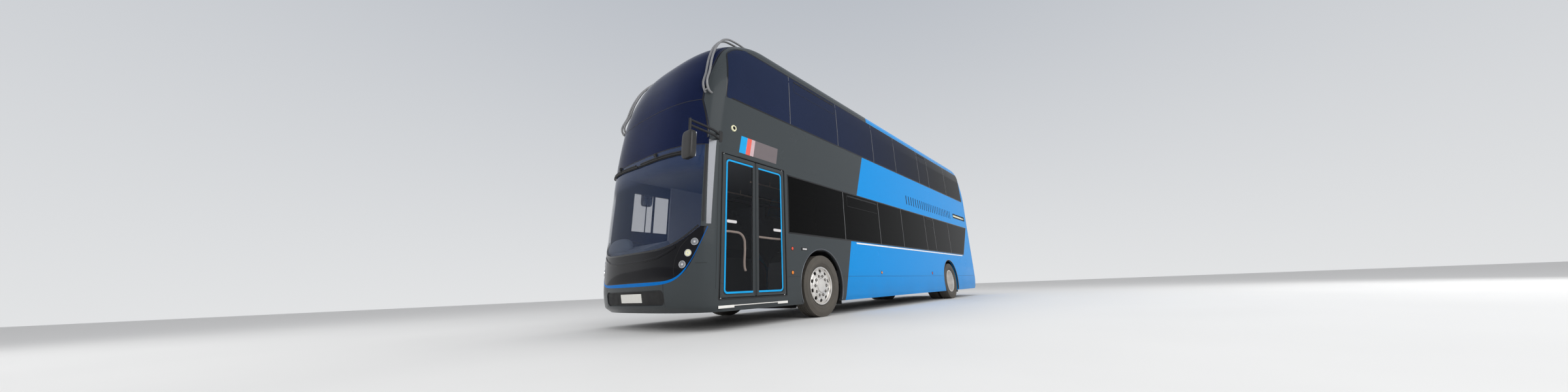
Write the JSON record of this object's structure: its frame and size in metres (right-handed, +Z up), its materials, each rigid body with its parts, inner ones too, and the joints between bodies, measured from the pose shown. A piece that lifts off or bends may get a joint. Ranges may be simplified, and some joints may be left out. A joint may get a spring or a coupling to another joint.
{
  "type": "double-decker bus",
  "caption": "Full-size two-deck city bus with hollow saloons, glazed side bands, twin-leaf entrance door, steered front axle and twin-tyred rear axle.",
  "frame": {"origin": "on the road under the middle of the whole bus's box, mirrors and guard rails included", "axes": "+Z up, -Y towards the front of the bus, +X towards the nearside with the passenger door"},
  "size_m": [2.92, 11.76, 4.3858],
  "materials": {
    "body_grey": "dark grey gloss coach paint, blue from the front wheel back in the render",
    "body_blue": "bright blue gloss coach paint",
    "black_gloss": "black gloss mask and glass surround",
    "tinted_glass": "dark privacy glass",
    "screen_glass": "lightly tinted windscreen glass",
    "alloy": "polished wheel",
    "tyre": "black tyre rubber",
    "rubber": "black moulded rubber",
    "steel": "dark painted chassis steel",
    "trim": "grey interior moulding",
    "seat_fabric": "blue moquette",
    "floor_vinyl": "grey safety floor",
    "rail_grey": "grey painted tube"
  },
  "bodies": {
    "bus_body": {"front_bumper": "body_grey", "nearside_lower_side": "body_grey", "offside_lower_side": "body_grey", "nearside_upper_side": "body_grey", "offside_upper_side": "body_grey", "roof": "body_grey", "rear_panel": "body_blue", "front_mask": "black_gloss", "destination_glass": "black_gloss", "mirror_nearside": "black_gloss", "mirror_offside": "black_gloss", "nearside_lower_glass": "tinted_glass", "nearside_upper_glass": "tinted_glass", "offside_lower_glass": "tinted_glass", "offside_upper_glass": "tinted_glass", "lower_windscreen": "screen_glass", "upper_windscreen": "screen_glass", "cab_window": "screen_glass", "wipers": "rubber", "chassis_frame": "steel", "front_axle": "steel", "rear_axle": "steel", "engine": "steel", "dashboard": "trim", "cab_partition": "trim", "staircase": "trim", "driver_seat": "seat_fabric", "lower_seats_nearside": "seat_fabric", "lower_seats_offside": "seat_fabric", "upper_seats_nearside": "seat_fabric", "upper_seats_offside": "seat_fabric", "upper_rear_bench": "seat_fabric", "lower_floor": "floor_vinyl", "upper_floor": "floor_vinyl", "guard_rail_nearside": "rail_grey", "guard_rail_offside": "rail_grey"},
    "front_door_leaf": {"door_front_leaf": "body_grey"},
    "rear_door_leaf": {"door_rear_leaf": "body_grey"},
    "nearside_knuckle": {"knuckle_nearside": "steel"},
    "offside_knuckle": {"knuckle_offside": "steel"},
    "steering_track_rod": {"track_rod": "steel"},
    "driver_steering_wheel": {"steering_wheel": "rubber"},
    "front_nearside_wheel": {"front_wheel_nearside": "alloy", "front_tyre_nearside": "tyre"},
    "front_offside_wheel": {"front_wheel_offside": "alloy", "front_tyre_offside": "tyre"},
    "rear_nearside_wheels": {"rear_wheels_nearside": "alloy", "rear_outer_tyre_nearside": "tyre", "rear_inner_tyre_nearside": "tyre"},
    "rear_offside_wheels": {"rear_wheels_offside": "alloy", "rear_outer_tyre_offside": "tyre", "rear_inner_tyre_offside": "tyre"},
    "engine_cover_lid": {"engine_cover": "body_blue"},
    "rear_exit_window": {"rear_emergency_window": "tinted_glass"}
  },
  "joints": [
    {"name": "front_door_hinge", "type": "hinge", "parent": "bus_body", "child": "front_door_leaf", "pos_m": [1.253, -5.205, 1.3], "axis": [0, 0, 1], "range_deg": [0, 85]},
    {"name": "rear_door_hinge", "type": "hinge", "parent": "bus_body", "child": "rear_door_leaf", "pos_m": [1.253, -4.035, 1.3], "axis": [0, 0, -1], "range_deg": [0, 85]},
    {"name": "nearside_steering", "type": "hinge", "parent": "bus_body", "child": "nearside_knuckle", "pos_m": [1.0075, -3.09, 0.48], "axis": [0, 0, 1], "range_deg": [-40, 40]},
    {"name": "offside_steering", "type": "hinge", "parent": "bus_body", "child": "offside_knuckle", "pos_m": [-1.0075, -3.09, 0.48], "axis": [0, 0, 1], "range_deg": [-40, 40]},
    {"name": "track_rod_pivot", "type": "hinge", "parent": "nearside_knuckle", "child": "steering_track_rod", "pos_m": [0.93, -2.89, 0.172], "axis": [0, 0, 1], "range_deg": [-40, 40]},
    {"name": "steering_wheel_turn", "type": "hinge", "parent": "bus_body", "child": "driver_steering_wheel", "pos_m": [-0.78, -5.175, 1.14], "axis": [0, 0.4695, 0.8829], "range_deg": [-645, 645]},
    {"name": "front_nearside_wheel_spin", "type": "hinge", "parent": "nearside_knuckle", "child": "front_nearside_wheel", "pos_m": [1.1275, -3.09, 0.48], "axis": [1, 0, 0], "continuous": true},
    {"name": "front_offside_wheel_spin", "type": "hinge", "parent": "offside_knuckle", "child": "front_offside_wheel", "pos_m": [-1.1275, -3.09, 0.48], "axis": [1, 0, 0], "continuous": true},
    {"name": "rear_nearside_wheel_spin", "type": "hinge", "parent": "bus_body", "child": "rear_nearside_wheels", "pos_m": [0.9625, 3.21, 0.48], "axis": [1, 0, 0], "continuous": true},
    {"name": "rear_offside_wheel_spin", "type": "hinge", "parent": "bus_body", "child": "rear_offside_wheels", "pos_m": [-0.9625, 3.21, 0.48], "axis": [1, 0, 0], "continuous": true},
    {"name": "engine_cover_hinge", "type": "hinge", "parent": "bus_body", "child": "engine_cover_lid", "pos_m": [0, 5.8445, 1.504], "axis": [1, 0, 0], "range_deg": [0, 75]},
    {"name": "rear_exit_hinge", "type": "hinge", "parent": "bus_body", "child": "rear_exit_window", "pos_m": [0, 5.6616, 3.944], "axis": [1, 0, 0], "range_deg": [0, 70]}
  ],
  "couplings": [
    {"joint": "offside_steering", "follows": "nearside_steering", "ratio": 1},
    {"joint": "track_rod_pivot", "follows": "nearside_steering", "ratio": -1},
    {"joint": "steering_wheel_turn", "follows": "nearside_steering", "ratio": 16}
  ]
}
